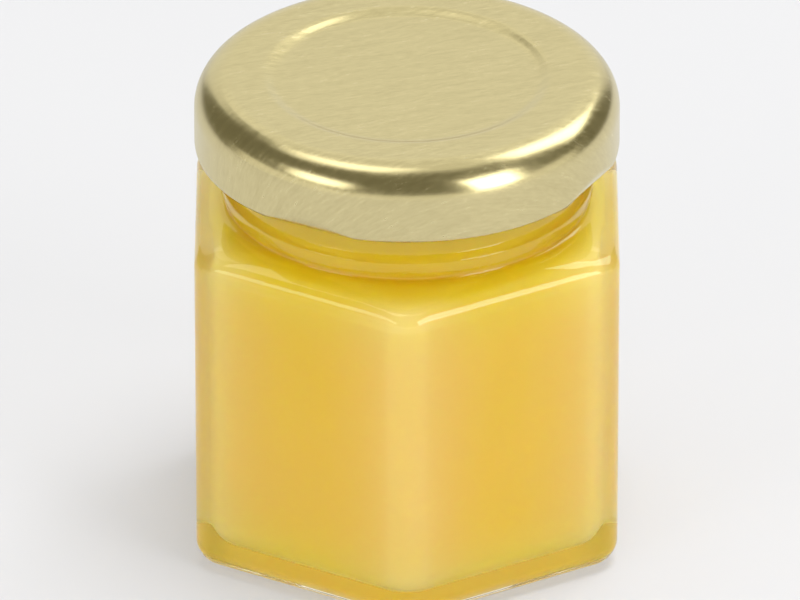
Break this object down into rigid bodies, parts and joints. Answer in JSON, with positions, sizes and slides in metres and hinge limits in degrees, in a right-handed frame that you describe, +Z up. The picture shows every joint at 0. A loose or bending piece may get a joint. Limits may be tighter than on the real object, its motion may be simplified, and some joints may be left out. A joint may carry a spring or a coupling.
{
  "type": "honey jar",
  "caption": "Small hexagonal glass jar of honey with a round neck and a gold-coloured twist-off metal lid.",
  "frame": {"origin": "middle of the underside, on the surface that the jar stands on", "axes": "+Z up along the jar's axis; an upright edge between two flats faces -Y, and two flats face -X and +X"},
  "size_m": [0.0454, 0.0514, 0.0534],
  "materials": {
    "glass": "clear moulded glass, smooth and glossy",
    "honey": "creamy set honey, cloudy golden yellow",
    "lid_metal": "pale gold lacquer over linearly brushed tinplate"
  },
  "bodies": {
    "root": {"jar": "glass", "honey": "honey", "lid": "lid_metal"}
  },
  "joints": []
}
